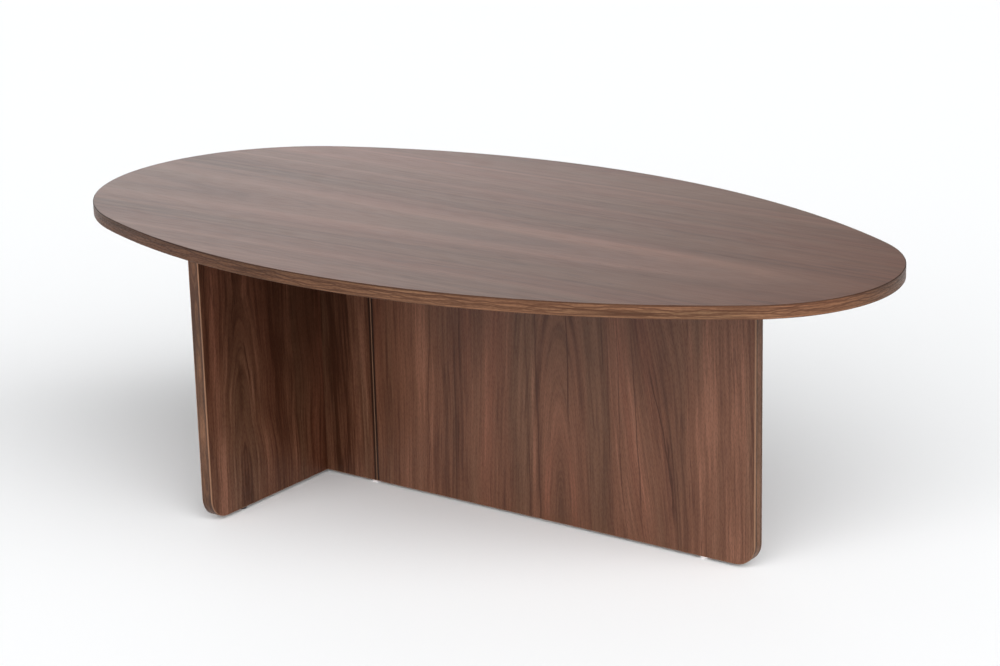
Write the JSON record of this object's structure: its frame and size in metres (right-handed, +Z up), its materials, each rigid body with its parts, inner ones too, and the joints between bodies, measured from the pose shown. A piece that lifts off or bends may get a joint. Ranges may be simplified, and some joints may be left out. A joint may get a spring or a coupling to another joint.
{
  "type": "coffee table",
  "caption": "Low egg-shaped coffee table in walnut veneer on a T-shaped base of upright panels with rounded lower corners and small glides.",
  "frame": {"origin": "on the floor, under the middle of the top's length and width", "axes": "+X along the top towards its narrow end, +Y across the top away from the viewer, +Z up"},
  "size_m": [1.1998, 0.6598, 0.405],
  "materials": {
    "walnut_top": "satin lacquered walnut veneer, grain along the table",
    "walnut_panel": "satin lacquered walnut veneer, grain upright",
    "walnut_band": "satin lacquered walnut edge band",
    "chipboard": "raw particleboard",
    "beech": "raw beech",
    "glide_plastic": "matt moulded plastic",
    "fastener_steel": "zinc-plated steel",
    "cam_zinc": "bare die-cast zinc",
    "cap_foil": "walnut-coloured foil"
  },
  "bodies": {
    "root": {"top_core": "chipboard", "top_face_veneer": "walnut_top", "top_backing_veneer": "walnut_panel", "top_edge_band": "walnut_band", "crossbar_core": "chipboard", "crossbar_inner_veneer": "walnut_panel", "crossbar_outer_veneer": "walnut_panel", "crossbar_edge_band": "walnut_band", "stub_core": "chipboard", "stub_front_veneer": "walnut_panel", "stub_rear_veneer": "walnut_panel", "stub_edge_band": "walnut_band", "stem_core": "chipboard", "stem_front_veneer": "walnut_panel", "stem_rear_veneer": "walnut_panel", "stem_edge_band": "walnut_band", "crossbar_glides": "glide_plastic", "stub_glide": "glide_plastic", "stem_glide": "glide_plastic", "glide_nails": "fastener_steel", "top_cam_bolts": "fastener_steel", "top_cams": "cam_zinc", "top_dowels": "beech", "seam_cam_bolts": "fastener_steel", "seam_cams": "cam_zinc", "seam_dowels": "beech", "stub_screws": "fastener_steel", "stub_dowels": "beech", "cam_caps": "cap_foil", "screw_caps": "cap_foil"}
  },
  "joints": []
}
